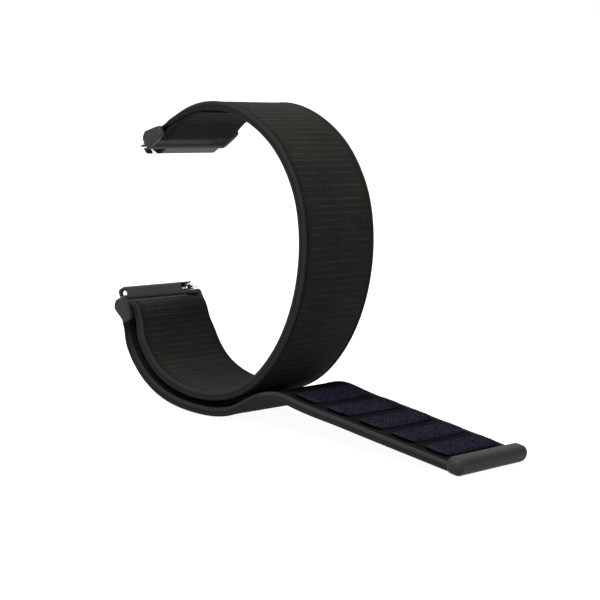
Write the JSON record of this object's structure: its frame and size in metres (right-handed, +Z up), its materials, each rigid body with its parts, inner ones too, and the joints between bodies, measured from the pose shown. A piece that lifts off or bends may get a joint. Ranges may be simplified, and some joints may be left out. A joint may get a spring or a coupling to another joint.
{
  "type": "nylon watch strap",
  "caption": "Hook-and-loop nylon watch strap lying open, with a metal quick-release lug adapter at each end of its loop.",
  "frame": {"origin": "centre of the bounding box's underside, on the surface the strap lies on", "axes": "+X along the strap's side view towards the end tab, +Y across the band, +Z up"},
  "size_m": [0.077, 0.0244, 0.0562],
  "materials": {
    "woven_nylon": "fine cross-ribbed weave, matt",
    "flap_nylon": "woven, matt",
    "hook_pad_nylon": "fine hooks, matt navy",
    "tab_plastic": "moulded, satin",
    "adapter_metal": "dark grey coating, satin",
    "bar_chrome": "polished",
    "spring_steel": "drawn wire"
  },
  "bodies": {
    "band": {"band_loop": "woven_nylon"},
    "flap_1": {"flap_panel_1": "flap_nylon", "hook_pad_1": "hook_pad_nylon"},
    "flap_2": {"flap_panel_2": "flap_nylon", "hook_pad_2": "hook_pad_nylon"},
    "flap_3": {"flap_panel_3": "flap_nylon", "hook_pad_3": "hook_pad_nylon"},
    "flap_4": {"flap_panel_4": "flap_nylon", "hook_pad_4": "hook_pad_nylon"},
    "flap_5": {"flap_panel_5": "flap_nylon", "hook_pad_5": "hook_pad_nylon", "end_tab": "tab_plastic"},
    "upper_adapter": {"upper_adapter_frame": "adapter_metal", "upper_barrel": "bar_chrome", "upper_fixed_pin": "bar_chrome", "upper_spring": "spring_steel"},
    "upper_release": {"upper_sliding_pin": "bar_chrome", "upper_release_lever": "bar_chrome"},
    "lower_adapter": {"lower_adapter_frame": "adapter_metal", "lower_barrel": "bar_chrome", "lower_fixed_pin": "bar_chrome", "lower_spring": "spring_steel"},
    "lower_release": {"lower_sliding_pin": "bar_chrome", "lower_release_lever": "bar_chrome"}
  },
  "joints": [
    {"name": "flap_fold_1", "type": "hinge", "parent": "band", "child": "flap_1", "pos_m": [-0.00074, 0, 0.00755], "axis": [0, -1, 0], "range_deg": [0, 77]},
    {"name": "flap_fold_2", "type": "hinge", "parent": "flap_1", "child": "flap_2", "pos_m": [0.0064, 0, 0.00647], "axis": [0, -1, 0], "range_deg": [0, 5.44]},
    {"name": "flap_fold_3", "type": "hinge", "parent": "flap_2", "child": "flap_3", "pos_m": [0.01343, 0, 0.00558], "axis": [0, -1, 0], "range_deg": [0, 5.44]},
    {"name": "flap_fold_4", "type": "hinge", "parent": "flap_3", "child": "flap_4", "pos_m": [0.02047, 0, 0.00459], "axis": [0, -1, 0], "range_deg": [0, 7.37]},
    {"name": "flap_fold_5", "type": "hinge", "parent": "flap_4", "child": "flap_5", "pos_m": [0.0275, 0, 0.00362], "axis": [0, -1, 0], "range_deg": [0, 9.68]},
    {"name": "upper_adapter_swing", "type": "hinge", "parent": "band", "child": "upper_adapter", "pos_m": [-0.03159, 0, 0.04886], "axis": [0, 1, 0], "range_deg": [-25, 40]},
    {"name": "upper_pin_release", "type": "slide", "parent": "upper_adapter", "child": "upper_release", "axis": [0, 1, 0], "range_m": [0, 0.0014], "stiffness_N_per_m": 300, "springref_m": -0.003, "deforming": ["upper_spring"]},
    {"name": "lower_adapter_swing", "type": "hinge", "parent": "band", "child": "lower_adapter", "pos_m": [-0.03492, 0, 0.01537], "axis": [0, -1, 0], "range_deg": [-40, 25]},
    {"name": "lower_pin_release", "type": "slide", "parent": "lower_adapter", "child": "lower_release", "axis": [0, -1, 0], "range_m": [0, 0.0014], "stiffness_N_per_m": 300, "springref_m": -0.003, "deforming": ["lower_spring"]}
  ],
  "couplings": [
    {"joint": "flap_fold_2", "follows": "flap_fold_1", "ratio": 0.07},
    {"joint": "flap_fold_3", "follows": "flap_fold_1", "ratio": 0.07},
    {"joint": "flap_fold_4", "follows": "flap_fold_1", "ratio": 0.095},
    {"joint": "flap_fold_5", "follows": "flap_fold_1", "ratio": 0.125}
  ]
}
